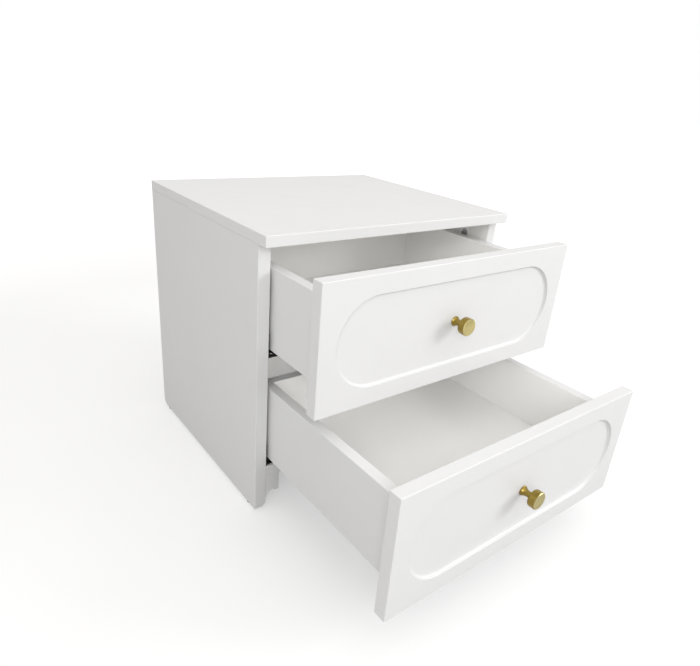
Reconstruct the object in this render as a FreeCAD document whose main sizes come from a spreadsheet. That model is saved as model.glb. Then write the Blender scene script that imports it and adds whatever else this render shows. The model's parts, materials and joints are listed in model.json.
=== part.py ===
import FreeCAD, Part
import math
import os
import re
import Sketcher
from FreeCAD import Rotation, Vector

# Nightstand with two drawers on undermount slides, standing on four small glides.
# Frame: +X to the right as seen from the front, the front faces -Y, +Z up.
# The origin is the middle of the carcass's footprint on the floor.
# The drawers stand open by the two amounts in the sheet: that is the rest position.

doc = FreeCAD.newDocument("Nightstand")
sheet = doc.addObject("Spreadsheet::Sheet", "Sizes")
derived = doc.addObject("App::VarSet", "Derived")
nodes = []

SIZES = {
    # Carcass
    "body_width": 480,
    "body_depth": 390,
    "total_height": 456,
    "side_thickness": 19,
    "side_corner_round": 14,
    "side_arris_round": 9,
    "top_thickness": 16,
    "top_side_overhang": 0.5,
    "top_front_overhang": 20.5,
    "bottom_thickness": 18,
    "floor_clearance": 60,
    "back_thickness": 5,
    "back_inset": 12,
    "back_groove_depth": 7,
    "back_play": 0.2,
    "edge_round": 1,
    # Bracket feet and glides
    "bracket_width": 24,
    "bracket_thickness": 16,
    "bracket_side_height": 18,
    "bracket_cusp_height": 30.5,
    "bracket_cusp_place": 14,
    "bracket_tip_height": 28,
    "bracket_tip_round": 2,
    "glide_diameter": 10,
    "glide_thickness": 3,
    "glide_inset": 25,
    "nail_diameter": 2,
    "nail_length": 14,
    # Drawer fronts
    "front_thickness": 19,
    "front_top_gap": 6,
    "front_gap": 5,
    "front_rise": 3,
    "recess_margin": 27,
    "recess_depth": 4,
    "recess_slope": 12,
    "recess_cove": 2.5,
    "recess_lip": 0.8,
    # Drawer boxes
    "box_gap": 5,
    "box_board": 16,
    "box_rise": 29,
    "box_fall": 30,
    "box_floor_thickness": 15,
    "box_floor_rise": 16,
    "box_floor_groove": 5,
    "box_floor_play": 0.1,
    "rear_clearance": 41,
    "closing_gap": 1.5,
    "upper_open": 130,
    "lower_shortfall": 3,
    # Slides
    "rail_drop": 11,
    "rail_steel": 1.5,
    "rail_setback": 2,
    "rail_shortfall": 32,
    "rail_flange": 38,
    "channel_gap": 1.5,
    "channel_width": 21.5,
    "channel_height": 11,
    "channel_lip": 4,
    "slide_play": 0.6,
    "middle_web": 4,
    "middle_shortfall": 10,
    "runner_tab": 14,
    "rail_hole_diameter": 5,
    "rail_hole_inset": 10,
    "rail_hole_across": 11,
    # Screws
    "rail_screw_diameter": 4,
    "rail_screw_length": 13,
    "rail_screw_head": 7.5,
    "rail_screw_head_height": 1.8,
    "rail_screw_inset": 37,
    "rail_screw_height": 24,
    "runner_screw_diameter": 3.5,
    "runner_screw_length": 12,
    "runner_screw_head": 7,
    "runner_screw_head_height": 2,
    "runner_screw_inset": 38,
    "screw_slot_share": 0.6,
    "screw_slot_width": 1,
    "screw_slot_depth": 0.8,
    # Cam fittings and dowels
    "cam_diameter": 15,
    "cam_thickness": 12.5,
    "cam_set": 34,
    "cam_inset": 55,
    "cam_slot_share": 0.7,
    "cam_slot_width": 1.6,
    "cam_slot_depth": 1.5,
    "bolt_diameter": 7,
    "bolt_thread_depth": 11,
    "dowel_diameter": 8,
    "dowel_length": 30,
    "dowel_step": 32,
    "dowel_in_face": 10,
    "box_dowel_low": 40,
    "box_dowel_drop": 22,
    "hole_play": 0.1,
    "cut_overshoot": 1,
    # Knobs
    "knob_head_diameter": 26,
    "knob_head_thickness": 12,
    "knob_neck_diameter": 9,
    "knob_base_diameter": 15,
    "knob_base_rim": 1.2,
    "knob_projection": 28,
    "knob_flare_height": 9,
    "knob_flare_radius": 13,
    "knob_back_round": 3,
    "knob_chamfer": 1,
    "knob_screw_diameter": 4,
    "knob_screw_grip": 10,
    "knob_screw_head": 8,
    "knob_screw_head_height": 2.4,
}

DERIVED = {
    "half_width": "body_width / 2",
    "front_plane": "-body_depth / 2",
    "rear_plane": "body_depth / 2",
    "side_inner": "body_width / 2 - side_thickness",
    "top_underside": "total_height - top_thickness",
    "bottom_upper": "floor_clearance + bottom_thickness",
    "back_face": "rear_plane - back_inset - back_thickness",
    "back_edge": "side_inner + back_groove_depth",
    "lower_front_bottom": "floor_clearance + front_rise",
    "front_height": "(top_underside - front_top_gap - front_gap - lower_front_bottom) / 2",
    "upper_front_bottom": "lower_front_bottom + front_height + front_gap",
    "box_half": "side_inner - box_gap",
    "box_inner": "box_half - box_board",
    "box_top": "front_height - box_fall",
    "box_length": "body_depth - back_inset - back_thickness - rear_clearance",
    "box_back_face": "box_length - box_board",
    "box_floor_bottom": "box_rise + box_floor_rise",
    "box_floor_top": "box_floor_bottom + box_floor_thickness",
    "slide_length": "box_length - rail_shortfall",
    "lower_open": "slide_length - lower_shortfall",
    "rail_bottom": "box_rise - rail_drop",
    "runner_top": "rail_drop + box_floor_rise",
    "channel_start": "box_gap + box_board + channel_gap",
    "channel_end": "channel_start + channel_width",
    "knob_base": "recess_depth - front_thickness",
    "dowel_in_edge": "dowel_length - dowel_in_face",
}


def full(expression):
    """Return the expression with each size's name led by the object that holds it."""
    def owner(match):
        word = match.group(0)
        if word in SIZES:
            return "Sizes." + word
        if word in DERIVED:
            return "Derived." + word
        return word
    return re.sub(r"[a-z_]+", owner, str(expression))


def value(expression):
    """Return the number that an expression in the sizes gives now."""
    return float(sheet.evalExpression(full(expression)))


def bind(item, **expressions):
    """Bind an object's sizes; x, y and z stand for its placement's base."""
    for name, expression in expressions.items():
        target = f"Placement.Base.{name}" if name in ("x", "y", "z") else name
        item.setExpression(target, full(expression))
    return item


def add(kind, name):
    return doc.addObject(kind, name)


def node(item, label):
    """Name a finished sub-part after the file that will hold it."""
    item.Label = label
    nodes.append(item)
    return item


def fill_sheet():
    for row, (name, size) in enumerate(SIZES.items(), start=1):
        sheet.set(f"A{row}", name.replace("_", " "))
        sheet.set(f"B{row}", str(size))
        sheet.setAlias(f"B{row}", name)
    doc.recompute()
    for name, expression in DERIVED.items():
        derived.addProperty("App::PropertyFloat", name, "Derived", "worked out from the sheet")
        derived.setExpression(name, full(expression))
    doc.recompute()


# ---- Sketches and bodies -------------------------------------------------------------

def new_sketch(body, role, name, offset="0"):
    """Return a sketch on one of the body's own origin planes, moved along its normal."""
    sketch = body.newObject("Sketcher::SketchObject", name)
    plane = next(item for item in body.Origin.OriginFeatures if item.Role == role)
    sketch.AttachmentSupport = [(plane, "")]
    sketch.MapMode = "FlatFace"
    sketch.setExpression("AttachmentOffset.Base.z", full(offset))
    return sketch


def pin_point(sketch, geometry, point, x, y):
    """Hold one sketch point at a place given by two expressions."""
    for kind, expression in (("DistanceX", x), ("DistanceY", y)):
        made = Sketcher.Constraint(kind, -1, 1, geometry, point, value(expression))
        index = sketch.addConstraint(made)
        sketch.setExpression(f"Constraints[{index}]", full(expression))


def draw_outline(sketch, corners):
    """Draw a closed outline. A corner is (x, y), or (x, y, radius, side) where the stretch
    that leaves it is an arc, which bows to the left (1) or right (-1) of its chord."""
    places = [Vector(value(corner[0]), value(corner[1]), 0) for corner in corners]
    count = len(corners)
    starts = []
    for index, corner in enumerate(corners):
        start = places[index]
        end = places[(index + 1) % count]
        if len(corner) == 2:
            sketch.addGeometry(Part.LineSegment(start, end), False)
        else:
            sketch.addGeometry(bowed_arc(start, end, value(corner[2]), corner[3]), False)
        # An arc is drawn anticlockwise, so one that bows to the left starts at its far end.
        starts.append(2 if len(corner) == 4 and corner[3] > 0 else 1)
    for index, corner in enumerate(corners):
        following = (index + 1) % count
        far_end = 3 - starts[index]
        joint = Sketcher.Constraint("Coincident", index, far_end, following, starts[following])
        sketch.addConstraint(joint)
        pin_point(sketch, index, starts[index], corner[0], corner[1])
        if len(corner) == 4:
            made = sketch.addConstraint(Sketcher.Constraint("Radius", index, value(corner[2])))
            sketch.setExpression(f"Constraints[{made}]", full(corner[2]))


def bowed_arc(start, end, radius, side):
    """Return the short arc between two points that bows to the left (1) or right (-1)."""
    chord = end - start
    across = Vector(-chord.y, chord.x, 0).normalize() * side
    centre = (start + end) * 0.5 - across * math.sqrt(radius ** 2 - (chord.Length / 2) ** 2)
    angles = [math.atan2(point.y - centre.y, point.x - centre.x) for point in (start, end)]
    if side > 0:
        angles.reverse()
    if angles[1] < angles[0]:
        angles[1] += 2 * math.pi
    return Part.ArcOfCircle(Part.Circle(centre, Vector(0, 0, 1), radius), angles[0], angles[1])


def rectangle(low_x, low_y, high_x, high_y):
    return [(low_x, low_y), (high_x, low_y), (high_x, high_y), (low_x, high_y)]


def padded(name, role, corners, length, offset="0"):
    """Return a body and its pad: an outline on an origin plane, raised along the normal.
    The normal of XY_Plane is +Z, of YZ_Plane +X and of XZ_Plane -Y."""
    body = add("PartDesign::Body", name)
    sketch = new_sketch(body, role, name + "_outline", offset)
    draw_outline(sketch, corners)
    pad = body.newObject("PartDesign::Pad", name + "_pad")
    pad.Profile = sketch
    bind(pad, Length=length)
    doc.recompute()
    return body, pad


def rounded(body, feature, name, radius, wanted):
    """Fillet the feature's edges that the wanted test picks."""
    picked = [f"Edge{number}" for number, edge in enumerate(feature.Shape.Edges, start=1)
              if wanted(edge)]
    fillet = body.newObject("PartDesign::Fillet", name)
    fillet.Base = (feature, picked)
    bind(fillet, Radius=radius)
    doc.recompute()
    return fillet


def near(first, second):
    return abs(first - second) < 0.001


def flat_at(edge, axis, place):
    """Tell whether an edge lies in the plane where one coordinate has one value."""
    box = edge.BoundBox
    spans = {"x": (box.XMin, box.XMax), "y": (box.YMin, box.YMax), "z": (box.ZMin, box.ZMax)}
    low, high = spans[axis]
    return near(low, place) and near(high, place)


def runs_across(edge):
    return not flat_at(edge, "x", edge.BoundBox.XMin)


def board(name, low, high, edges=None):
    """Return the body of a plain board between two corners, its edges eased where asked."""
    body, pad = padded(name, "XY_Plane", rectangle(low[0], low[1], high[0], high[1]),
                       f"({high[2]}) - ({low[2]})", low[2])
    if edges:
        rounded(body, pad, name + "_eased_edges", "edge_round", edges)
    return body


# ---- Holes and round hardware --------------------------------------------------------

TURNS = {
    "+X": Rotation(Vector(0, 1, 0), 90),
    "-X": Rotation(Vector(0, 1, 0), -90),
    "+Y": Rotation(Vector(1, 0, 0), -90),
    "-Y": Rotation(Vector(1, 0, 0), 90),
    "+Z": Rotation(),
    "-Z": Rotation(Vector(1, 0, 0), 180),
}


def rod(name, place, way, diameter, length):
    """Return a cylinder that starts at the place and runs one way along an axis."""
    cylinder = add("Part::Cylinder", name)
    cylinder.Placement.Rotation = TURNS[way]
    x, y, z = place
    return bind(cylinder, x=x, y=y, z=z, Radius=f"({diameter}) / 2", Height=length)


def block(name, low, high):
    """Return a plain box between two corners."""
    box = add("Part::Box", name)
    spans = [f"({top}) - ({bottom})" for bottom, top in zip(low, high)]
    return bind(box, x=low[0], y=low[1], z=low[2], Length=spans[0], Width=spans[1], Height=spans[2])


def cut(name, base, tools):
    """Return the base with the tools taken away."""
    result = add("Part::Cut", name)
    result.Base = base
    if len(tools) == 1:
        result.Tool = tools[0]
        return result
    cutters = add("Part::MultiFuse", name + "_cutters")
    cutters.Shapes = tools
    result.Tool = cutters
    return result


def group(name, items):
    """Return one object that holds several like pieces as separate solids."""
    compound = add("Part::Compound", name)
    compound.Links = items
    return compound


def moved(place, way, distance):
    """Return a place, as expressions, moved some distance one way along an axis."""
    axis = "XYZ".index(way[1])
    result = list(place)
    result[axis] = f"({place[axis]}) {way[0]} ({distance})"
    return tuple(result)


def opposite(way):
    return ("-" if way[0] == "+" else "+") + way[1]


def driver_slots(name, place, way, across, width, depth):
    """Return the two crossed slots that a screwdriver turns, sunk from a head's face."""
    first, second = [index for index in range(3) if index != "XYZ".index(way[1])]
    floor = moved(place, way, depth)
    slots = []
    for long_axis, short_axis in ((first, second), (second, first)):
        low = list(place if way[0] == "+" else floor)
        high = list(floor if way[0] == "+" else place)
        for axis, span in ((long_axis, across), (short_axis, width)):
            high[axis] = f"({low[axis]}) + ({span}) / 2"
            low[axis] = f"({low[axis]}) - ({span}) / 2"
        slots.append(block(f"{name}_slot", low, high))
    return slots


def screw(name, seat, way, size):
    """Return a pan-head screw whose head bears on the seat and whose shank runs one way."""
    head_place = moved(seat, opposite(way), f"{size}_head_height")
    shank = rod(name + "_shank", seat, way, f"{size}_diameter", f"{size}_length")
    head = rod(name + "_head", head_place, way, f"{size}_head", f"{size}_head_height")
    whole = add("Part::Fuse", name + "_whole")
    whole.Base = head
    whole.Tool = shank
    slots = driver_slots(name, head_place, way, f"{size}_head * screw_slot_share",
                         "screw_slot_width", "screw_slot_depth")
    return cut(name, whole, slots)


def hole(name, place, way, diameter, depth):
    """Return the cutter of a hole that clears what goes in it by the hole play."""
    return rod(name + "_hole", place, way, f"{diameter} + 2 * hole_play", f"({depth}) + hole_play")


def through_hole(name, place, way, diameter, thickness):
    """Return the cutter of a hole that goes from the place right through a thickness."""
    return rod(name + "_hole", moved(place, opposite(way), "cut_overshoot"), way,
               f"{diameter} + 2 * hole_play", f"{thickness} + 2 * cut_overshoot")


def back_groove(name, low_x, high_x, low_z, high_z):
    """Return the cutter of one board's groove for the back panel."""
    return block(name + "_groove", (low_x, "back_face - back_play", low_z),
                 (high_x, "back_face + back_thickness + back_play", high_z))


# ---- Carcass -------------------------------------------------------------------------

SIDES = {"left": -1, "right": 1}


def cam_places():
    """Return the depths of the two cams and of the two dowels beside them on each side."""
    cams = ["front_plane + cam_inset", "rear_plane - cam_inset"]
    dowels = ["front_plane + cam_inset + dowel_step", "rear_plane - cam_inset - dowel_step"]
    return cams, dowels


def carcass_joints():
    """List each joint between two carcass boards, as the pieces and the holes need it:
    the seat where the boards meet, the way into the board that holds the cam, the way
    that the cam's own face looks, and how deep the cam's board is at that face."""
    joints = []
    for side, sign in SIDES.items():
        inward = "-X" if sign > 0 else "+X"
        outward = opposite(inward)
        cams, dowels = cam_places()
        for index, (cam, dowel) in enumerate(zip(cams, dowels), start=1):
            middle = f"{sign} * (half_width - side_thickness / 2)"
            inner = f"{sign} * side_inner"
            joints.append({
                "name": f"{side}_top_{index}", "side": side, "into": "-Z", "cam_way": outward,
                "seat": (middle, cam, "top_underside"),
                "cam": (inner, cam, "top_underside - cam_set"),
                "dowel": (middle, dowel, "top_underside"),
                "cam_board": f"{side}_side_panel", "bolt_board": "top_panel"})
            level = "floor_clearance + bottom_thickness / 2"
            joints.append({
                "name": f"{side}_bottom_{index}", "side": side, "into": inward, "cam_way": "+Z",
                "seat": (inner, cam, level),
                "cam": (f"{sign} * (side_inner - cam_set)", cam, "floor_clearance"),
                "dowel": (inner, dowel, level),
                "cam_board": "bottom_panel", "bolt_board": f"{side}_side_panel"})
    return joints


def joint_holes(joints, board_name):
    """Return the cutters that the cam fittings and dowels need in one board."""
    holes = []
    for joint in joints:
        name = f"{board_name}_{joint['name']}"
        into = joint["into"]
        back = opposite(into)
        if joint["cam_board"] == board_name:
            holes.append(hole(name + "_cam", joint["cam"], joint["cam_way"], "cam_diameter",
                              "cam_thickness"))
            holes.append(hole(name + "_bolt", joint["seat"], into, "bolt_diameter", "cam_set"))
            holes.append(hole(name + "_dowel", joint["dowel"], into, "dowel_diameter", "dowel_in_edge"))
        if joint["bolt_board"] == board_name:
            holes.append(hole(name + "_bolt", joint["seat"], back, "bolt_diameter", "bolt_thread_depth"))
            holes.append(hole(name + "_dowel", joint["dowel"], back, "dowel_diameter", "dowel_in_face"))
    return holes


def rail_levels():
    """Return the height of each drawer's rails and how far that drawer stands open."""
    return {"upper": ("upper_front_bottom + rail_bottom", "upper_open"),
            "lower": ("lower_front_bottom + rail_bottom", "lower_open")}


def rail_screw_seats(side, level):
    """Return where the heads of one fixed rail's two screws bear on its flange."""
    sign = SIDES[side]
    seats = []
    for depth in ("rail_screw_inset", "slide_length - rail_screw_inset"):
        seats.append((f"{sign} * (side_inner - rail_steel)",
                      f"front_plane + rail_setback + {depth}", f"{level} + rail_screw_height"))
    return seats


def make_top(joints):
    """The top laps the fronts, and the back panel stands in a groove in its underside."""
    low = ("-half_width - top_side_overhang", "front_plane - top_front_overhang", "top_underside")
    high = ("half_width + top_side_overhang", "rear_plane", "total_height")
    blank = board("top_blank", low, high, edges=lambda edge: True)
    groove = back_groove("top", "-back_edge", "back_edge", "top_underside - cut_overshoot",
                         "top_underside + back_groove_depth")
    node(cut("top_panel", blank, [groove] + joint_holes(joints, "top_panel")), "top_panel")


def make_side(side, joints):
    """A side stands on the glides, with its rear foot corner and inner lower arris rounded."""
    sign = SIDES[side]
    name = side + "_side_panel"
    outline = rectangle("front_plane", "glide_thickness", "rear_plane", "top_underside")
    start = "side_inner" if sign > 0 else "-half_width"
    body, pad = padded(name + "_blank", "YZ_Plane", outline, "side_thickness", start)
    foot = value("glide_thickness")
    rear = value("rear_plane")
    inner = sign * value("side_inner")
    front = value("front_plane")
    corner = rounded(body, pad, name + "_rear_corner", "side_corner_round",
                     lambda edge: flat_at(edge, "y", rear) and flat_at(edge, "z", foot))
    arris = rounded(body, corner, name + "_lower_arris", "side_arris_round",
                    lambda edge: flat_at(edge, "x", inner) and flat_at(edge, "z", foot))
    rounded(body, arris, name + "_eased_edges", "edge_round",
            lambda edge: flat_at(edge, "y", front) and not flat_at(edge, "z", value("top_underside")))
    mouth = f"{sign} * (side_inner - cut_overshoot)"
    groove_floor = f"{sign} * back_edge"
    ends = (mouth, groove_floor) if sign > 0 else (groove_floor, mouth)
    groove = back_groove(name, ends[0], ends[1], "bottom_upper - back_groove_depth - back_play",
                         "top_underside + cut_overshoot")
    outward = "+X" if sign > 0 else "-X"
    screws = [hole(f"{name}_{drawer}_rail_screw", seat, outward, "rail_screw_diameter",
                   "rail_screw_length")
              for drawer, (level, _) in rail_levels().items()
              for seat in rail_screw_seats(side, level)]
    holes = joint_holes(joints, name)
    node(cut(name, body, [groove] + screws + holes), name)


def bracket_dowel(side):
    sign = SIDES[side]
    return (f"{sign} * (side_inner - bracket_width / 2)", "front_plane + bracket_thickness / 2",
            "floor_clearance")


def make_bottom(joints):
    """The bottom lies between the sides, grooved on top for the back panel."""
    front = value("front_plane")
    blank = board("bottom_blank", ("-side_inner", "front_plane", "floor_clearance"),
                  ("side_inner", "rear_plane", "bottom_upper"),
                  edges=lambda edge: flat_at(edge, "y", front) and runs_across(edge))
    groove = back_groove("bottom", "-side_inner - cut_overshoot", "side_inner + cut_overshoot",
                         "bottom_upper - back_groove_depth - back_play", "bottom_upper + cut_overshoot")
    feet = [hole(f"bottom_{side}_bracket_dowel", bracket_dowel(side), "+Z", "dowel_diameter",
                 "dowel_length / 2") for side in SIDES]
    node(cut("bottom_panel", blank, [groove] + feet + joint_holes(joints, "bottom_panel")), "bottom_panel")


def make_back():
    """The back panel slides down the grooves and rests in the bottom's groove."""
    body = board("back_panel_body",
                 ("-back_edge + back_play", "back_face", "bottom_upper - back_groove_depth"),
                 ("back_edge - back_play", "back_face + back_thickness",
                  "top_underside + back_groove_depth - back_play"))
    node(body, "back_panel")


def make_bracket(side):
    """A bracket foot: a cove runs up from the side to a cusp, and a short bead ends it."""
    sign = SIDES[side]
    name = side + "_foot_bracket"
    turn = -sign

    def across(distance):
        return f"{sign} * (side_inner - ({distance}))"

    outline = [
        (across("0"), "floor_clearance"),
        (across("0"), "bracket_side_height", "bracket_cusp_place", turn),
        (across("bracket_cusp_place"), "bracket_cusp_height"),
        (across("bracket_cusp_place + bracket_tip_round"), "bracket_tip_height"),
        (across("bracket_width"), "bracket_tip_height"),
        (across("bracket_width"), "floor_clearance"),
    ]
    body, pad = padded(name + "_blank", "XZ_Plane", outline, "bracket_thickness",
                       "-front_plane - bracket_thickness")
    tip = sign * value("side_inner - bracket_width")
    rounded(body, pad, name + "_tip", "bracket_tip_round",
            lambda edge: flat_at(edge, "x", tip) and flat_at(edge, "z", value("bracket_tip_height")))
    socket = hole(name + "_dowel", bracket_dowel(side), "-Z", "dowel_diameter", "dowel_length / 2")
    node(cut(name, body, [socket]), name)


def make_glides():
    """Nail-in glides under the flat part of each side, near its front and its rear."""
    glides = []
    for side, sign in SIDES.items():
        for end, depth in (("front", "front_plane + glide_inset"),
                           ("rear", "rear_plane - glide_inset")):
            name = f"{side}_{end}_glide"
            centre = f"{sign} * (half_width - (side_thickness - side_arris_round) / 2)"
            disc = rod(name + "_disc", (centre, depth, "0"), "+Z", "glide_diameter", "glide_thickness")
            nail = rod(name + "_nail", (centre, depth, "glide_thickness"), "+Z", "nail_diameter",
                       "nail_length")
            whole = add("Part::Fuse", name)
            whole.Base = disc
            whole.Tool = nail
            glides.append(whole)
    node(group("floor_glides", glides), "floor_glides")


def make_joint_hardware(joints):
    """Cams, the bolts that they pull, and dowels, one of each at every carcass joint."""
    cams, bolts, dowels = [], [], []
    for joint in joints:
        name = joint["name"]
        into = joint["into"]
        back = opposite(into)
        disc = rod(name + "_cam_disc", joint["cam"], joint["cam_way"], "cam_diameter", "cam_thickness")
        passage = hole(name + "_cam_passage", joint["seat"], into, "bolt_diameter",
                       "cam_set + bolt_diameter / 2")
        slots = driver_slots(name + "_cam", joint["cam"], joint["cam_way"],
                             "cam_diameter * cam_slot_share", "cam_slot_width", "cam_slot_depth")
        cams.append(cut(name + "_cam", disc, [passage] + slots))
        bolts.append(rod(name + "_bolt", moved(joint["seat"], back, "bolt_thread_depth"), into,
                         "bolt_diameter", "bolt_thread_depth + cam_set"))
        dowels.append(rod(name + "_dowel", moved(joint["dowel"], back, "dowel_in_face"), into,
                          "dowel_diameter", "dowel_length"))
    for side in SIDES:
        start = moved(bracket_dowel(side), "-Z", "dowel_length / 2")
        dowels.append(rod(f"{side}_bracket_dowel_pin", start, "+Z", "dowel_diameter", "dowel_length"))
    for label, pieces in (("cam_discs", cams), ("cam_bolts", bolts), ("carcass_dowels", dowels)):
        node(group(label, pieces), label)


# ---- Slides --------------------------------------------------------------------------

def section(sign, corners):
    """Turn a slide's section, measured inwards from the side panel and up from the
    underside of the fixed rail, into sketch corners."""
    return [(f"{sign} * (side_inner - ({inward}))", up) for inward, up in corners]


def fixed_section():
    """A flange on the side panel, a shelf under the drawer side and a lipped channel."""
    lip_low = "channel_height - rail_steel"
    inner_start = "channel_start + rail_steel"
    inner_end = "channel_end - rail_steel"
    return [
        ("0", "0"), ("channel_end", "0"), ("channel_end", "channel_height"),
        (f"{inner_end} - channel_lip", "channel_height"), (f"{inner_end} - channel_lip", lip_low),
        (inner_end, lip_low), (inner_end, "rail_steel"), (inner_start, "rail_steel"),
        (inner_start, lip_low), (f"{inner_start} + channel_lip", lip_low),
        (f"{inner_start} + channel_lip", "channel_height"), ("channel_start", "channel_height"),
        ("channel_start", "rail_steel"), ("rail_steel", "rail_steel"),
        ("rail_steel", "rail_flange"), ("0", "rail_flange"),
    ]


def middle_section():
    """Two shallow channels back to back on a web, held under the lips of its neighbours."""
    start = "channel_start + rail_steel + slide_play"
    end = "channel_end - rail_steel - slide_play"
    web_start = "(channel_start + channel_end - middle_web) / 2"
    web_end = "(channel_start + channel_end + middle_web) / 2"
    foot = "rail_steel + slide_play"
    plate = "channel_height - rail_steel - slide_play"
    lower = [(start, plate), (start, foot), (f"{start} + rail_steel", foot),
             (f"{start} + rail_steel", f"{plate} - rail_steel"),
             (f"{end} - rail_steel", f"{plate} - rail_steel"), (f"{end} - rail_steel", foot),
             (end, foot), (end, plate)]
    upper = [(inward, f"runner_top - ({up})") for inward, up in reversed(lower)]
    return lower + [(web_end, plate), (web_end, f"runner_top - ({plate})")] + upper + [
        (web_start, f"runner_top - ({plate})"), (web_start, plate)]


def runner_section():
    """The fixed rail's channel turned over, with a tab that is screwed to the drawer floor."""
    plate = "runner_top - rail_steel"
    foot = "runner_top - channel_height"
    lip = f"{foot} + rail_steel"
    inner_start = "channel_start + rail_steel"
    inner_end = "channel_end - rail_steel"
    return [
        ("channel_start", "runner_top"), ("channel_end + runner_tab", "runner_top"),
        ("channel_end + runner_tab", plate), ("channel_end", plate), ("channel_end", foot),
        (f"{inner_end} - channel_lip", foot), (f"{inner_end} - channel_lip", lip), (inner_end, lip),
        (inner_end, plate), (inner_start, plate), (inner_start, lip),
        (f"{inner_start} + channel_lip", lip), (f"{inner_start} + channel_lip", foot),
        ("channel_start", foot),
    ]


def make_fixed_rails():
    """The four rails on the side panels, each with two screws and a hole in its shelf."""
    screws = []
    for drawer, (level, _) in rail_levels().items():
        for side, sign in SIDES.items():
            name = f"{drawer}_{side}_fixed_rail"
            corners = [(x, f"{level} + ({z})") for x, z in section(sign, fixed_section())]
            front = "front_plane + rail_setback"
            body, _ = padded(name + "_blank", "XZ_Plane", corners, "slide_length",
                             f"-({front}) - slide_length")
            outward = "+X" if sign > 0 else "-X"
            holes = []
            for index, seat in enumerate(rail_screw_seats(side, level), start=1):
                holes.append(through_hole(f"{name}_{index}", seat, outward, "rail_screw_diameter",
                                          "rail_steel"))
                screws.append(screw(f"{name}_screw_{index}", seat, outward, "rail_screw"))
            shelf = (f"{sign} * (side_inner - rail_hole_across)", f"{front} + rail_hole_inset", level)
            holes.append(through_hole(name + "_shelf", shelf, "+Z", "rail_hole_diameter", "rail_steel"))
            node(cut(name, body, holes), name)
    node(group("rail_screws", screws), "rail_screws")


def make_middle_members():
    """Each middle member has moved half as far out as its drawer."""
    for drawer, (level, opened) in rail_levels().items():
        for side, sign in SIDES.items():
            name = f"{drawer}_{side}_middle_member"
            body, _ = padded(name + "_body", "XZ_Plane", section(sign, middle_section()),
                             "slide_length - middle_shortfall", "-(slide_length - middle_shortfall)")
            closed = "front_plane + rail_setback + middle_shortfall / 2"
            bind(body, y=f"{closed} - ({opened} - closing_gap) / 2", z=level)
            node(body, name)


# ---- Drawers -------------------------------------------------------------------------
# A drawer's pieces are drawn about the middle of its front's lower back edge, and each
# is then placed at the drawer's height and opening.

def front_outline():
    return rectangle("-half_width", "0", "half_width", "front_height")


def recess_outline():
    """A long recess with half-round ends, its margin the same all round."""
    end = "half_width - front_height / 2"
    return end, "front_height / 2 - recess_margin"


def make_front(name, holes):
    """A slab with eased edges and a shallow recess: its lip is round, and its wall curves into
    its floor."""
    body, pad = padded(name + "_blank", "XZ_Plane", front_outline(), "front_thickness")
    eased = rounded(body, pad, name + "_eased_edges", "edge_round", lambda edge: True)
    end, radius = recess_outline()
    sketch = new_sketch(body, "XZ_Plane", name + "_recess_outline", "front_thickness")
    bottom = f"front_height / 2 - ({radius})"
    top = f"front_height / 2 + ({radius})"
    corners = [(f"-({end})", bottom), (end, bottom), (end, top), (f"-({end})", top)]
    places = [Vector(value(x), value(y), 0) for x, y in corners]
    bow = value(radius)
    quarter = math.pi / 2
    for index, first_angle in ((0, -quarter), (2, quarter)):
        start, finish, following = places[index], places[index + 1], places[(index + 2) % 4]
        centre = (finish + following) * 0.5
        sketch.addGeometry(Part.LineSegment(start, finish), False)
        circle = Part.Circle(centre, Vector(0, 0, 1), bow)
        sketch.addGeometry(Part.ArcOfCircle(circle, first_angle, first_angle + math.pi), False)
    for index, (x, y) in enumerate(corners):
        sketch.addConstraint(Sketcher.Constraint("Coincident", index, 2, (index + 1) % 4, 1))
        pin_point(sketch, index, 1, x, y)
    for index, x in ((1, end), (3, f"-({end})")):
        made = sketch.addConstraint(Sketcher.Constraint("DistanceX", -1, 1, index, 3, value(x)))
        sketch.setExpression(f"Constraints[{made}]", full(x))
    pocket = body.newObject("PartDesign::Pocket", name + "_recess")
    pocket.Profile = sketch
    bind(pocket, Length="recess_depth", TaperAngle="-recess_slope")
    doc.recompute()
    least_cut = value(f"({end}) * 2 * ({radius}) * recess_depth")
    if pocket.Shape.Volume > eased.Shape.Volume - least_cut:
        raise RuntimeError(name + ": the recess cut nothing")
    floor = value("recess_depth - front_thickness")
    coved = rounded(body, pocket, name + "_recess_cove", "recess_cove",
                    lambda edge: flat_at(edge, "y", floor))
    rounded(body, coved, name + "_recess_lip", "recess_lip", on_recess_lip)
    return cut(name, body, holes)


def on_recess_lip(edge):
    """Tell whether an edge of a front lies on the recess's outline rather than the slab's."""
    low = value("recess_margin") - 0.001
    high = value("front_height - recess_margin") + 0.001
    outer = value("-front_thickness")
    return flat_at(edge, "y", outer) and low < edge.BoundBox.ZMin and edge.BoundBox.ZMax < high


def placed(item, label, opened, level):
    """Finish a drawer's piece: its name, its opening and its height."""
    bind(item, y=f"front_plane - ({opened})", z=level)
    return node(item, label)


def box_dowel_heights():
    """Return the two heights of the dowels at each corner of a drawer box."""
    return ["box_rise + box_dowel_low", "box_top - box_dowel_drop"]


def box_dowel_seats(side, height):
    """Return where a side meets the front, and the back, at one dowel's height."""
    sign = SIDES[side]
    front_seat = (f"{sign} * (box_half - box_board / 2)", "0", height)
    back_seat = (f"{sign} * box_inner", "box_length - box_board / 2", height)
    return front_seat, back_seat


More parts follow.
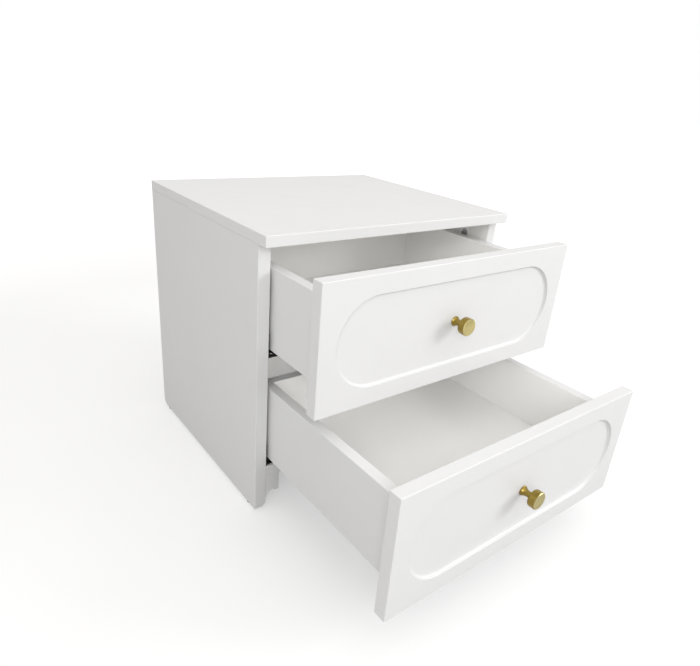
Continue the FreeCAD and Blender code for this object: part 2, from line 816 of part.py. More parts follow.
def make_box_side(drawer, side):
    """A drawer side, grooved for the floor and drilled for the front and the back."""
    sign = SIDES[side]
    name = f"{drawer}_drawer_{side}_side"
    outer, inner = f"{sign} * box_half", f"{sign} * box_inner"
    ends = (inner, outer) if sign > 0 else (outer, inner)
    blank = board(name + "_blank", (ends[0], "0", "box_rise"), (ends[1], "box_length", "box_top"),
                  edges=lambda edge: not flat_at(edge, "y", 0))
    groove_floor = f"{sign} * (box_inner + box_floor_groove + box_floor_play)"
    mouth = f"{sign} * (box_inner - cut_overshoot)"
    span = (mouth, groove_floor) if sign > 0 else (groove_floor, mouth)
    cutters = [block(name + "_groove", (span[0], "-cut_overshoot", "box_floor_bottom - box_floor_play"),
                     (span[1], "box_back_face + box_floor_play", "box_floor_top + box_floor_play"))]
    outward = "+X" if sign > 0 else "-X"
    for index, height in enumerate(box_dowel_heights(), start=1):
        front_seat, back_seat = box_dowel_seats(side, height)
        cutters.append(hole(f"{name}_front_{index}", front_seat, "+Y", "dowel_diameter", "dowel_in_edge"))
        cutters.append(hole(f"{name}_back_{index}", back_seat, outward, "dowel_diameter", "dowel_in_face"))
    return cut(name, blank, cutters), name


def make_box_back(drawer):
    """The back stands between the sides, clear above the slides."""
    name = f"{drawer}_drawer_back"
    blank = board(name + "_blank", ("-box_inner", "box_back_face", "box_floor_bottom"),
                  ("box_inner", "box_length", "box_top"),
                  edges=runs_across)
    holes = []
    for side, sign in SIDES.items():
        inward = "-X" if sign > 0 else "+X"
        for index, height in enumerate(box_dowel_heights(), start=1):
            back_seat = box_dowel_seats(side, height)[1]
            holes.append(hole(f"{name}_{side}_{index}", back_seat, inward, "dowel_diameter",
                              "dowel_in_edge"))
    return cut(name, blank, holes), name


def runner_screw_seats(side):
    """Return where one runner's two screw heads bear, under its tab."""
    sign = SIDES[side]
    return [(f"{sign} * (side_inner - channel_end - runner_tab / 2)", f"rail_setback + {depth}",
             "rail_bottom + runner_top - rail_steel")
            for depth in ("runner_screw_inset", "slide_length - runner_screw_inset")]


def make_box_floor(drawer):
    """The floor runs into the sides' grooves and carries the runners."""
    name = f"{drawer}_drawer_floor"
    reach = "box_inner + box_floor_groove"
    blank = board(name + "_blank", (f"-({reach})", "0", "box_floor_bottom"),
                  (reach, "box_back_face", "box_floor_top"))
    holes = [hole(f"{name}_{side}_{index}", seat, "+Z", "runner_screw_diameter",
                  "runner_screw_length")
             for side in SIDES for index, seat in enumerate(runner_screw_seats(side), start=1)]
    return cut(name, blank, holes), name


def make_runner(drawer, side):
    """A runner hangs under the drawer floor beside one side, screwed through its tab."""
    name = f"{drawer}_{side}_runner"
    sign = SIDES[side]
    corners = [(x, f"rail_bottom + ({z})") for x, z in section(sign, runner_section())]
    body, _ = padded(name + "_blank", "XZ_Plane", corners, "slide_length",
                     "-(rail_setback + slide_length)")
    holes = [through_hole(f"{name}_{index}", seat, "+Z", "runner_screw_diameter", "rail_steel")
             for index, seat in enumerate(runner_screw_seats(side), start=1)]
    return cut(name, body, holes), name


def make_knob(drawer):
    """A turned knob: flared base, waisted neck and a thick flat head, drilled for its screw."""
    name = f"{drawer}_knob"
    body = add("PartDesign::Body", name + "_body")
    sketch = new_sketch(body, "XY_Plane", name + "_profile")
    base, neck, head = "knob_base_diameter / 2", "knob_neck_diameter / 2", "knob_head_diameter / 2"
    head_back = "knob_projection - knob_head_thickness"
    flare_end = "knob_base_rim + knob_flare_height"
    draw_outline(sketch, [
        ("knob_screw_diameter / 2 + hole_play", "0"),
        (base, "0"),
        (base, "-knob_base_rim", "knob_flare_radius", -1),
        (neck, f"-({flare_end})"),
        (neck, f"-({head_back})"),
        (f"{head} - knob_back_round", f"-({head_back})", "knob_back_round", -1),
        (head, f"-({head_back} + knob_back_round)"),
        (head, "-(knob_projection - knob_chamfer)"),
        (f"{head} - knob_chamfer", "-knob_projection"),
        ("0", "-knob_projection"),
        ("0", "-(knob_screw_grip + hole_play)"),
        ("knob_screw_diameter / 2 + hole_play", "-(knob_screw_grip + hole_play)"),
    ])
    turning = body.newObject("PartDesign::Revolution", name + "_turning")
    turning.Profile = sketch
    turning.ReferenceAxis = (sketch, ["V_Axis"])
    turning.Angle = 360
    return body


def make_drawer(drawer, level, opened):
    """All the pieces that move with one drawer."""
    front_name = f"{drawer}_drawer_front"
    knob_middle = ("0", "0", "front_height / 2")
    front_holes = [through_hole(front_name + "_knob", knob_middle, "-Y", "knob_screw_diameter",
                                "front_thickness")]
    dowels = []
    for side, sign in SIDES.items():
        outward = "+X" if sign > 0 else "-X"
        for index, height in enumerate(box_dowel_heights(), start=1):
            name = f"{drawer}_{side}_dowel_{index}"
            front_seat, back_seat = box_dowel_seats(side, height)
            front_holes.append(hole(f"{front_name}_{side}_{index}", front_seat, "-Y",
                                    "dowel_diameter", "dowel_in_face"))
            dowels.append(rod(name + "_front", moved(front_seat, "-Y", "dowel_in_face"), "+Y",
                              "dowel_diameter", "dowel_length"))
            dowels.append(rod(name + "_back", moved(back_seat, outward, "dowel_in_face"),
                              opposite(outward), "dowel_diameter", "dowel_length"))
    screws = [screw(f"{drawer}_{side}_runner_screw_{index}", seat, "+Z", "runner_screw")
              for side in SIDES for index, seat in enumerate(runner_screw_seats(side), start=1)]
    pieces = [(make_front(front_name, front_holes), front_name)]
    for side in SIDES:
        pieces += [make_box_side(drawer, side), make_runner(drawer, side)]
    pieces += [make_box_back(drawer), make_box_floor(drawer), make_knob_screw(drawer)]
    for kind, like_pieces in (("runner_screws", screws), ("drawer_dowels", dowels)):
        pieces.append((group(f"{drawer}_{kind}", like_pieces), f"{drawer}_{kind}"))
    for item, name in pieces:
        placed(item, name, opened, level)
    knob = bind(make_knob(drawer), y=f"front_plane - ({opened}) + knob_base",
                z=f"{level} + front_height / 2")
    node(knob, f"{drawer}_knob")


def make_knob_screw(drawer):
    """A machine screw from inside the drawer, through the front and into the knob."""
    name = f"{drawer}_knob_screw"
    seat = ("0", "0", "front_height / 2")
    shank = rod(name + "_shank", seat, "-Y", "knob_screw_diameter",
                "front_thickness - recess_depth + knob_screw_grip")
    head_place = moved(seat, "+Y", "knob_screw_head_height")
    head = rod(name + "_head", head_place, "-Y", "knob_screw_head", "knob_screw_head_height")
    whole = add("Part::Fuse", name + "_whole")
    whole.Base = head
    whole.Tool = shank
    slots = driver_slots(name, head_place, "-Y", "knob_screw_head * screw_slot_share",
                         "screw_slot_width", "screw_slot_depth")
    return cut(name, whole, slots), name


# ---- Build, check and write ----------------------------------------------------------

def check_and_write():
    doc.recompute()
    bad = [item.Name for item in doc.Objects if "Invalid" in item.State or "Error" in item.State]
    if bad:
        raise RuntimeError("failed objects: " + ", ".join(bad))
    for item in nodes:
        if item.Shape.isNull() or not item.Shape.isValid() or not item.Shape.Solids:
            raise RuntimeError(item.Label + " has no valid solid")
    os.makedirs("parts", exist_ok=True)
    for item in nodes:
        item.Shape.exportStep(f"parts/{item.Label}.step")


fill_sheet()
carcass = carcass_joints()
make_top(carcass)
for carcass_side in SIDES:
    make_side(carcass_side, carcass)
    make_bracket(carcass_side)
make_bottom(carcass)
make_back()
make_glides()
make_joint_hardware(carcass)
make_fixed_rails()
make_middle_members()
make_drawer("upper", "upper_front_bottom", "upper_open")
make_drawer("lower", "lower_front_bottom", "lower_open")
check_and_write()
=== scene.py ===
"""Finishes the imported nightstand: boards, fronts, knobs, slides, fittings and the studio."""

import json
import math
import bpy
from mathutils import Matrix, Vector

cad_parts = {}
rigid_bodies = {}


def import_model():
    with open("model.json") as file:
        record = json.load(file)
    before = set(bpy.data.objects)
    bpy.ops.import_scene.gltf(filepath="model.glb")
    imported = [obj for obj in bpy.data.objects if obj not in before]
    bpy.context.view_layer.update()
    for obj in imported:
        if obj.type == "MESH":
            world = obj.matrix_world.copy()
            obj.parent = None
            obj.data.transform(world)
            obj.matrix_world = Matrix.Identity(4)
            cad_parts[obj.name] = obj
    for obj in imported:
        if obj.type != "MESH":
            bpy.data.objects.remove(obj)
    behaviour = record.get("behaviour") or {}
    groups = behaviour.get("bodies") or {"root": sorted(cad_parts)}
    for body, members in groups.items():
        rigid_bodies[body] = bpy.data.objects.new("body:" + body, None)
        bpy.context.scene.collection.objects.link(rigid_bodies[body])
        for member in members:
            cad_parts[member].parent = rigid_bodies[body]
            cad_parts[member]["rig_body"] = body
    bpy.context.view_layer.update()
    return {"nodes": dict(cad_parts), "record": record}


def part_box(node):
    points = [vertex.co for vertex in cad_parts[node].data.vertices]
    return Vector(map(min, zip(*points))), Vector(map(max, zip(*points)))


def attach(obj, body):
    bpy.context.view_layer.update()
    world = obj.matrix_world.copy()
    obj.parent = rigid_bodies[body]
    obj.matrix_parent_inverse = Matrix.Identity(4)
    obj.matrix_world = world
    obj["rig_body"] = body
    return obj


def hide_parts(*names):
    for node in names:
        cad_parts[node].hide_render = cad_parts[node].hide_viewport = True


bl_info = {
    "name": "Nightstand with two drawers",
    "version": (1, 0, 0),
    "blender": (4, 5, 0),
    "location": "3D View > Sidebar > Nightstand",
    "description": "Finishes the boards, knobs, slides and fittings of a packed nightstand",
    "category": "Object",
}

import bmesh
import bpy
from bpy.props import FloatProperty, FloatVectorProperty, IntProperty, PointerProperty
from bpy.types import Operator, Panel, PropertyGroup
from mathutils import Matrix, Vector

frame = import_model()

MM = 0.001
TURNING_SPAN = 30 * MM
SENSOR_WIDTH = 36
FLOOR_GAP = 0.1 * MM
DRAWERS = ("upper", "lower")
SIDES = ("left", "right")
RECORD_COLOURS = {item["slot"]: item["base_color"][:3] for item in frame["record"]["materials"]}


# ---- Settings ------------------------------------------------------------------------

class BoardSettings(PropertyGroup):
    """The look of the white boards."""

    colour: FloatVectorProperty(
        name="Lacquer colour", description="Colour of the fronts, top, sides and feet",
        subtype="COLOR", size=3, min=0, max=1, default=(0.72, 0.72, 0.72))
    # The inward faces are the same white board as the outer ones; their paler colour is painted
    # bounce light over the board's own white.
    inside_colour_with_painted_bounce: FloatVectorProperty(
        name="Inside colour", description="Colour of the drawer boxes, bottom and back",
        subtype="COLOR", size=3, min=0, max=1, default=(0.95, 0.945, 0.93))
    peel_size: FloatProperty(
        name="Peel size", description="Width of one ripple of the lacquer",
        unit="LENGTH", min=0, default=1.1 * MM)
    peel_height: FloatProperty(
        name="Peel height", description="Height of the lacquer's ripples",
        unit="LENGTH", min=0, default=0.006 * MM)
    roughness: FloatProperty(
        name="Lacquer roughness", description="Roughness of the lacquer where it is clean",
        min=0, max=1, default=0.36)
    # The inward faces are the same white board as the outer ones.
    inside_roughness: FloatProperty(
        name="Inside roughness", description="Roughness of the inward board where it is clean",
        min=0, max=1, default=0.46)
    inside_ripple: FloatProperty(
        name="Inside ripple", description="Height of the inside's ripples, in lacquer ripples",
        min=0, default=1.6)
    sharp_angle: FloatProperty(
        name="Sharp angle", description="Edges that turn by more than this stay crisp",
        subtype="ANGLE", min=0, max=math.pi, default=math.radians(32))


class FrontSettings(PropertyGroup):
    """The drawer fronts and their long recesses with half-round ends."""

    edge_round: FloatProperty(
        name="Edge round", description="Radius along the edges of the front",
        unit="LENGTH", min=0, default=1 * MM)
    edge_steps: IntProperty(
        name="Edge steps", description="Number of steps across the round along an edge",
        min=1, max=32, default=4)
    margin: FloatProperty(
        name="Margin", description="Distance from the recess to the edge of the front",
        unit="LENGTH", min=0, default=27 * MM)
    depth: FloatProperty(
        name="Depth", description="Depth of the recess", unit="LENGTH", min=0, default=4 * MM)
    lip: FloatProperty(
        name="Lip", description="Radius of the round where the recess begins",
        unit="LENGTH", min=0, default=0.8 * MM)
    cove: FloatProperty(
        name="Cove", description="Radius of the hollow between the wall and the floor",
        unit="LENGTH", min=0, default=2.5 * MM)
    slope: FloatProperty(
        name="Slope", description="How far the wall leans from straight in",
        subtype="ANGLE", min=0, max=math.radians(80), default=math.radians(12))
    end_steps: IntProperty(
        name="End steps", description="Number of steps round both half-round ends",
        min=8, max=512, default=192)
    round_steps: IntProperty(
        name="Round steps", description="Number of steps across the lip and across the cove",
        min=1, max=32, default=6)


class KnobSettings(PropertyGroup):
    """The turned brass knobs, in the order in which a lathe would meet them."""

    chamfer: FloatProperty(
        name="Face chamfer", description="Chamfer between the face and the rim",
        unit="LENGTH", min=0, default=1 * MM)
    head_thickness: FloatProperty(
        name="Head thickness", description="Thickness of the head, from its face to its back",
        unit="LENGTH", min=0, default=12 * MM)
    back_round: FloatProperty(
        name="Back round", description="Radius of the round at the back of the head",
        unit="LENGTH", min=0, default=3 * MM)
    neck_radius: FloatProperty(
        name="Neck radius", description="Radius of the waist",
        unit="LENGTH", min=0, default=4.5 * MM)
    flare_radius: FloatProperty(
        name="Flare radius", description="Radius of the hollow that opens into the base",
        unit="LENGTH", min=0, default=13 * MM)
    base_radius: FloatProperty(
        name="Base radius", description="Radius of the base on the front",
        unit="LENGTH", min=0, default=7.5 * MM)
    base_rim: FloatProperty(
        name="Base rim", description="Height of the straight rim round the base",
        unit="LENGTH", min=0, default=1.2 * MM)
    bore_radius: FloatProperty(
        name="Bore radius", description="Radius of the hole for the screw",
        unit="LENGTH", min=0, default=2.1 * MM)
    bore_depth: FloatProperty(
        name="Bore depth", description="Depth of the hole for the screw, from the base",
        unit="LENGTH", min=0, default=10.1 * MM)
    steps: IntProperty(
        name="Steps", description="Number of steps in one turn", min=12, max=256, default=128)
    face_edge: FloatProperty(
        name="Face edge", description="How far out from the middle the brushed face reaches",
        unit="LENGTH", min=0, default=12.8 * MM)
    back_steps: IntProperty(
        name="Back steps", description="Number of steps across the round at the back of the head",
        min=1, max=64, default=8)
    flare_steps: IntProperty(
        name="Flare steps", description="Number of steps along the hollow above the base",
        min=1, max=64, default=12)
    sharp_angle: FloatProperty(
        name="Sharp angle", description="Edges that turn by more than this stay crisp",
        subtype="ANGLE", min=0, max=math.pi, default=math.radians(25))
    face_colour: FloatVectorProperty(
        name="Face colour", description="Colour of the brushed face",
        subtype="COLOR", size=3, min=0, max=1, default=(0.76, 0.66, 0.29))
    # The flanks are the same brass as the face; their darker colour is a painted dark reflection of
    # the surroundings.
    flank_dark_reflection_colour: FloatVectorProperty(
        name="Flank dark reflection colour", description="Colour of everything below the rim of the face",
        subtype="COLOR", size=3, min=0, max=1, default=(0.33, 0.235, 0.05))
    # Paler brass at the edges: rubbed brass and a painted highlight on the chamfer and rims.
    rubbed_and_highlight_colour: FloatVectorProperty(
        name="Rubbed and highlight colour", description="Colour of the brass where its edges are rubbed",
        subtype="COLOR", size=3, min=0, max=1, default=(0.88, 0.80, 0.54))
    brush_pitch: FloatProperty(
        name="Brush pitch", description="Distance between the marks that the brush leaves",
        unit="LENGTH", min=0, default=0.16 * MM)


class SteelSettings(PropertyGroup):
    """The rolled slides, the screws, cams and bolts, the dowels and the glides."""

    bend_round: FloatProperty(
        name="Bend round", description="Radius at the bends and edges of the slides",
        unit="LENGTH", min=0, default=0.35 * MM)
    flat_angle: FloatProperty(
        name="Flat angle", description="Faces that turn by less than this become one",
        subtype="ANGLE", min=0, max=math.pi, default=math.radians(1))
    sharp_angle: FloatProperty(
        name="Sharp angle", description="Edges that turn by more than this stay crisp",
        subtype="ANGLE", min=0, max=math.pi, default=math.radians(30))
    eased_angle: FloatProperty(
        name="Eased angle", description="Edges that turn by more than this are rounded",
        subtype="ANGLE", min=0, max=math.pi, default=math.radians(50))
    coat_colour: FloatVectorProperty(
        name="Coat colour", description="Colour of the slides' black coat",
        subtype="COLOR", size=3, min=0, max=1, default=(0.018, 0.018, 0.019))
    bare_colour: FloatVectorProperty(
        name="Bare colour", description="Colour of the steel where the black coat is rubbed off",
        subtype="COLOR", size=3, min=0, max=1, default=(0.30, 0.30, 0.31))
    fitting_round: FloatProperty(
        name="Fitting round", description="Radius at the edges of the screws, cams and bolts",
        unit="LENGTH", min=0, default=0.25 * MM)
    dowel_chamfer: FloatProperty(
        name="Dowel chamfer", description="Width of the chamfer at the ends of the dowels",
        unit="LENGTH", min=0, default=0.8 * MM)
    glide_round: FloatProperty(
        name="Glide round", description="Radius at the edges of the glides",
        unit="LENGTH", min=0, default=0.6 * MM)


class StudioSettings(PropertyGroup):
    """The camera, the lights and the floor."""

    camera_place: FloatVectorProperty(
        name="Camera place", description="Where the camera stands",
        subtype="TRANSLATION", unit="LENGTH", size=3, default=(-0.5988, -0.8481, 0.6425))
    azimuth: FloatProperty(
        name="Azimuth", description="Turn of the view to the right, from straight along +Y",
        subtype="ANGLE", default=math.radians(39.674))
    elevation: FloatProperty(
        name="Elevation", description="Tilt of the view above level",
        subtype="ANGLE", default=math.radians(-23.956))
    roll: FloatProperty(
        name="Roll", description="Turn of the camera about its line of sight",
        subtype="ANGLE", default=math.radians(5.24))
    lens: FloatProperty(
        name="Lens", description="Focal length on a 36 mm sensor, in millimetres",
        min=1, default=29.6)
    shift: FloatVectorProperty(
        name="Shift", description="Shift of the lens across and up, as shares of the width",
        size=2, default=(-0.0114, 0.0099))
    sky_colour: FloatVectorProperty(
        name="Sky colour", description="Colour of the even light from all round",
        subtype="COLOR", size=3, min=0, max=1, default=(1.0, 0.99, 0.965))
    key_colour: FloatVectorProperty(
        name="Key colour", description="Colour of the softbox at the right",
        subtype="COLOR", size=3, min=0, max=1, default=(0.97, 0.975, 1.0))
    sky: FloatProperty(
        name="Sky", description="Strength of the even light from all round", min=0, default=0.79)
    aim: FloatVectorProperty(
        name="Aim", description="The point that the softboxes face",
        subtype="TRANSLATION", unit="LENGTH", size=3, default=(0, -0.2, 0.2))
    overhead_place: FloatVectorProperty(
        name="Overhead place", description="Where the softbox overhead hangs",
        subtype="TRANSLATION", unit="LENGTH", size=3, default=(0.2, -1.3, 3.3))
    overhead_width: FloatProperty(
        name="Overhead width", description="Width of the softbox overhead",
        unit="LENGTH", min=0, default=2.8)
    key_place: FloatVectorProperty(
        name="Key place", description="Where the softbox at the right hangs",
        subtype="TRANSLATION", unit="LENGTH", size=3, default=(2.8, -2.8, 1.8))
    key_width: FloatProperty(
        name="Key width", description="Width of the softbox at the right",
        unit="LENGTH", min=0, default=1.6)
    fill_place: FloatVectorProperty(
        name="Fill place", description="Where the softbox at the left hangs",
        subtype="TRANSLATION", unit="LENGTH", size=3, default=(-2.2, -2.4, 1.9))
    fill_width: FloatProperty(
        name="Fill width", description="Width of the softbox at the left",
        unit="LENGTH", min=0, default=1.4)
    inner_place: FloatVectorProperty(
        name="Inner place", description="Where the strip hangs, between the two drawers",
        subtype="TRANSLATION", unit="LENGTH", size=3, default=(0, 0, 0.248))
    inner_width: FloatProperty(
        name="Inner width", description="Width of the strip",
        unit="LENGTH", min=0, default=0.36)
    inner_height: FloatProperty(
        name="Inner height", description="Height of the strip",
        unit="LENGTH", min=0, default=0.04)
    overhead: FloatProperty(
        name="Overhead", description="Power of the softbox overhead, in watts",
        min=0, default=18.0)
    key: FloatProperty(
        name="Key", description="Power of the softbox at the right, in watts",
        min=0, default=77.0)
    fill: FloatProperty(
        name="Fill", description="Power of the softbox at the left, in watts",
        min=0, default=35.5)
    inner: FloatProperty(
        name="Inner", description="Power of the strip that lights the carcass's back, in watts",
        min=0, default=0.20)
    floor_colour: FloatVectorProperty(
        name="Floor colour", description="Colour of the floor",
        subtype="COLOR", size=3, min=0, max=1, default=(0.50, 0.50, 0.50))
    floor_radius: FloatProperty(
        name="Floor radius", description="Radius of the floor",
        unit="LENGTH", min=0, default=40)
    fade_start: FloatProperty(
        name="Fade start", description="Distance at which the floor begins to turn white",
        unit="LENGTH", min=0, default=1)
    fade_end: FloatProperty(
        name="Fade end", description="Distance at which the floor is as white as the sky",
        unit="LENGTH", min=0, default=4)
    floor_glow: FloatProperty(
        name="Floor glow", description="Brightness that the floor near the nightstand gains",
        min=0, default=0.45)


SETTINGS = {
    "nightstand_boards": BoardSettings,
    "nightstand_fronts": FrontSettings,
    "nightstand_knobs": KnobSettings,
    "nightstand_steel": SteelSettings,
    "nightstand_studio": StudioSettings,
}


# ---- Node groups and materials -------------------------------------------------------

def new_group(name, inputs, outputs):
    """Return an empty shader group with its own sockets, its nodes and its two ends."""
    tree = bpy.data.node_groups.new(name, "ShaderNodeTree")
    for label, kind, default in inputs:
        socket = tree.interface.new_socket(label, in_out="INPUT", socket_type=kind)
        if default is not None:
            socket.default_value = default
    for label, kind in outputs:
        tree.interface.new_socket(label, in_out="OUTPUT", socket_type=kind)
    return tree, tree.nodes.new("NodeGroupInput"), tree.nodes.new("NodeGroupOutput")


def add_node(tree, kind, values=None, **attributes):
    """Return a new node with its attributes and its unlinked sockets set."""
    made = tree.nodes.new(kind)
    for name, setting in attributes.items():
        setattr(made, name, setting)
    for socket, number in (values or {}).items():
        made.inputs[socket].default_value = number
    return made


def join(tree, start, end):
    tree.links.new(start, end)


def calculate(tree, operation, first, second):
    """Return the output of a Math node; each operand is a number or another output."""
    made = add_node(tree, "ShaderNodeMath", operation=operation)
    for index, operand in enumerate((first, second)):
        if isinstance(operand, bpy.types.NodeSocket):
            join(tree, operand, made.inputs[index])
        else:
            made.inputs[index].default_value = operand
    return made.outputs[0]


def rescale(tree, source, low, high, new_low, new_high):
    """Return a value moved from one range to another and held inside it."""
    values = {"From Min": low, "From Max": high, "To Min": new_low, "To Max": new_high}
    made = add_node(tree, "ShaderNodeMapRange", values, clamp=True)
    join(tree, source, made.inputs["Value"])
    return made.outputs["Result"]


def edge_mask_group():
    """A mask that is strong along a piece's turned edges, broken up by a noise; on the knobs it
    carries a painted highlight as well as rubbing.
    """
    tree, start, end = new_group(
        "Edge mask",
        [("Vector", "NodeSocketVector", None), ("Reach", "NodeSocketFloat", 0.6 * MM),
         ("Breakup", "NodeSocketFloat", 180.0), ("Evenness", "NodeSocketFloat", 0.5)],
        [("Mask", "NodeSocketFloat")])
    bevel = add_node(tree, "ShaderNodeBevel", samples=4)
    join(tree, start.outputs["Reach"], bevel.inputs["Radius"])
    geometry = add_node(tree, "ShaderNodeNewGeometry")
    likeness = add_node(tree, "ShaderNodeVectorMath", operation="DOT_PRODUCT")
    join(tree, bevel.outputs["Normal"], likeness.inputs[0])
    join(tree, geometry.outputs["Normal"], likeness.inputs[1])
    turned = rescale(tree, likeness.outputs["Value"], 0.995, 0.80, 0.0, 1.0)
    noise = add_node(tree, "ShaderNodeTexNoise", {"Detail": 4.0})
    join(tree, start.outputs["Vector"], noise.inputs["Vector"])
    join(tree, start.outputs["Breakup"], noise.inputs["Scale"])
    spread = calculate(tree, "ADD", noise.outputs["Fac"], start.outputs["Evenness"])
    patches = rescale(tree, spread, 0.55, 1.05, 0.0, 1.0)
    join(tree, calculate(tree, "MULTIPLY", turned, patches), end.inputs["Mask"])
    return tree


def sprayed_skin_group():
    """The fine ripple of a sprayed or pressed skin, its slow waves and a faint mottle."""
    tree, start, end = new_group(
        "Sprayed skin",
        [("Vector", "NodeSocketVector", None), ("Ripple", "NodeSocketFloat", 900.0),
         ("Wave", "NodeSocketFloat", 28.0)],
        [("Height", "NodeSocketFloat"), ("Mottle", "NodeSocketFloat"),
         ("Smudge", "NodeSocketFloat")])
    ripple = add_node(tree, "ShaderNodeTexNoise", {"Detail": 2.0, "Roughness": 0.45})
    wave = add_node(tree, "ShaderNodeTexNoise", {"Detail": 1.0})
    mottle = add_node(tree, "ShaderNodeTexNoise", {"Scale": 7.0, "Detail": 5.0})
    smudge = add_node(tree, "ShaderNodeTexNoise", {"Scale": 16.0, "Detail": 6.0,
                                                   "Distortion": 0.8})
    for texture, rate in ((ripple, "Ripple"), (wave, "Wave"), (mottle, None), (smudge, None)):
        join(tree, start.outputs["Vector"], texture.inputs["Vector"])
        if rate:
            join(tree, start.outputs[rate], texture.inputs["Scale"])
    swell = calculate(tree, "MULTIPLY", wave.outputs["Fac"], 2.5)
    join(tree, calculate(tree, "ADD", ripple.outputs["Fac"], swell), end.inputs["Height"])
    join(tree, mottle.outputs["Fac"], end.inputs["Mottle"])
    join(tree, rescale(tree, smudge.outputs["Fac"], 0.45, 0.75, 0.0, 1.0), end.inputs["Smudge"])
    return tree


def stroke_group():
    """Fine strokes that run along one direction: slow along U, quick across V."""
    tree, start, end = new_group(
        "Brush strokes",
        [("Vector", "NodeSocketVector", None), ("Rate", "NodeSocketFloat", 4000.0),
         ("Length", "NodeSocketFloat", 30.0)],
        [("Height", "NodeSocketFloat"), ("Tone", "NodeSocketFloat")])
    parts = add_node(tree, "ShaderNodeSeparateXYZ")
    join(tree, start.outputs["Vector"], parts.inputs["Vector"])
    along = calculate(tree, "MULTIPLY", parts.outputs["X"], start.outputs["Length"])
    side = calculate(tree, "MULTIPLY", parts.outputs["Z"], start.outputs["Length"])
    across = calculate(tree, "MULTIPLY", parts.outputs["Y"], start.outputs["Rate"])
    stretched = add_node(tree, "ShaderNodeCombineXYZ")
    for output, name in ((along, "X"), (across, "Y"), (side, "Z")):
        join(tree, output, stretched.inputs[name])
    fine = add_node(tree, "ShaderNodeTexNoise", {"Scale": 1.0, "Detail": 3.0, "Roughness": 0.7})
    broad = add_node(tree, "ShaderNodeTexNoise", {"Scale": 0.22, "Detail": 2.0})
    for texture in (fine, broad):
        join(tree, stretched.outputs["Vector"], texture.inputs["Vector"])
    join(tree, fine.outputs["Fac"], end.inputs["Height"])
    both = calculate(tree, "ADD", fine.outputs["Fac"], broad.outputs["Fac"])
    join(tree, calculate(tree, "MULTIPLY", both, 0.5), end.inputs["Tone"])
    return tree


def shared_groups():
    """Return the three groups that the materials share, made once."""
    makers = {"Edge mask": edge_mask_group, "Sprayed skin": sprayed_skin_group,
              "Brush strokes": stroke_group}
    return {name: bpy.data.node_groups.get(name) or make() for name, make in makers.items()}


def new_material(name, **sockets):
    """Return a material, its tree, its shader and the piece's own coordinates."""
    material = bpy.data.materials.new(name)
    material.use_nodes = True
    tree = material.node_tree
    shader = tree.nodes["Principled BSDF"]
    for label, number in sockets.items():
        shader.inputs[label.replace("_", " ")].default_value = number
    place = add_node(tree, "ShaderNodeTexCoord")
    return material, tree, shader, place.outputs["Object"]


def use_group(tree, name, vector, **values):
    """Place a shared group in a material with its own values."""
    made = add_node(tree, "ShaderNodeGroup", node_tree=shared_groups()[name])
    join(tree, vector, made.inputs["Vector"])
    for label, number in values.items():
        made.inputs[label].default_value = number
    return made


def blend_colours(tree, mask, first, second):
    """Return the colour that a mask picks between two, each a colour or an output."""
    made = add_node(tree, "ShaderNodeMix", data_type="RGBA")
    join(tree, mask, made.inputs["Factor"])
    for socket, colour in (("A", first), ("B", second)):
        target = next(item for item in made.inputs if item.name == socket and item.type == "RGBA")
        if isinstance(colour, bpy.types.NodeSocket):
            join(tree, colour, target)
        else:
            target.default_value = (*colour, 1)
    return next(item for item in made.outputs if item.type == "RGBA")


def raise_bump(tree, shader, height, distance, strength=1.0):
    bump = add_node(tree, "ShaderNodeBump", {"Distance": distance, "Strength": strength})
    join(tree, height, bump.inputs["Height"])
    join(tree, bump.outputs["Normal"], shader.inputs["Normal"])


def tinted(colour, factor):
    return tuple(min(1.0, channel * factor) for channel in colour)


def board_material(name, colour, roughness, peel_size, peel_height):
    """White board: a rippled skin, a slow mottle, faint smudges and edges a little paler where they
    turn.
    """
    material, tree, shader, place = new_material(name, Coat_Weight=0.12, Coat_Roughness=0.22)
    skin = use_group(tree, "Sprayed skin", place, Ripple=1 / peel_size)
    rim_mask = use_group(tree, "Edge mask", place)
    body = blend_colours(tree, skin.outputs["Mottle"], tinted(colour, 0.985), tinted(colour, 1.015))
    smudged = blend_colours(tree, calculate(tree, "MULTIPLY", skin.outputs["Smudge"], 0.35), body,
                            tinted(colour, 0.975))
    # A little paler along the turned edges.
    edge_toned = blend_colours(tree, calculate(tree, "MULTIPLY", rim_mask.outputs["Mask"], 0.35), smudged,
                         tinted(colour, 1.06))
    join(tree, edge_toned, shader.inputs["Base Color"])
    rough = rescale(tree, skin.outputs["Smudge"], 0.0, 1.0, roughness, roughness + 0.07)
    join(tree, rough, shader.inputs["Roughness"])
    raise_bump(tree, shader, skin.outputs["Height"], peel_height)
    return material


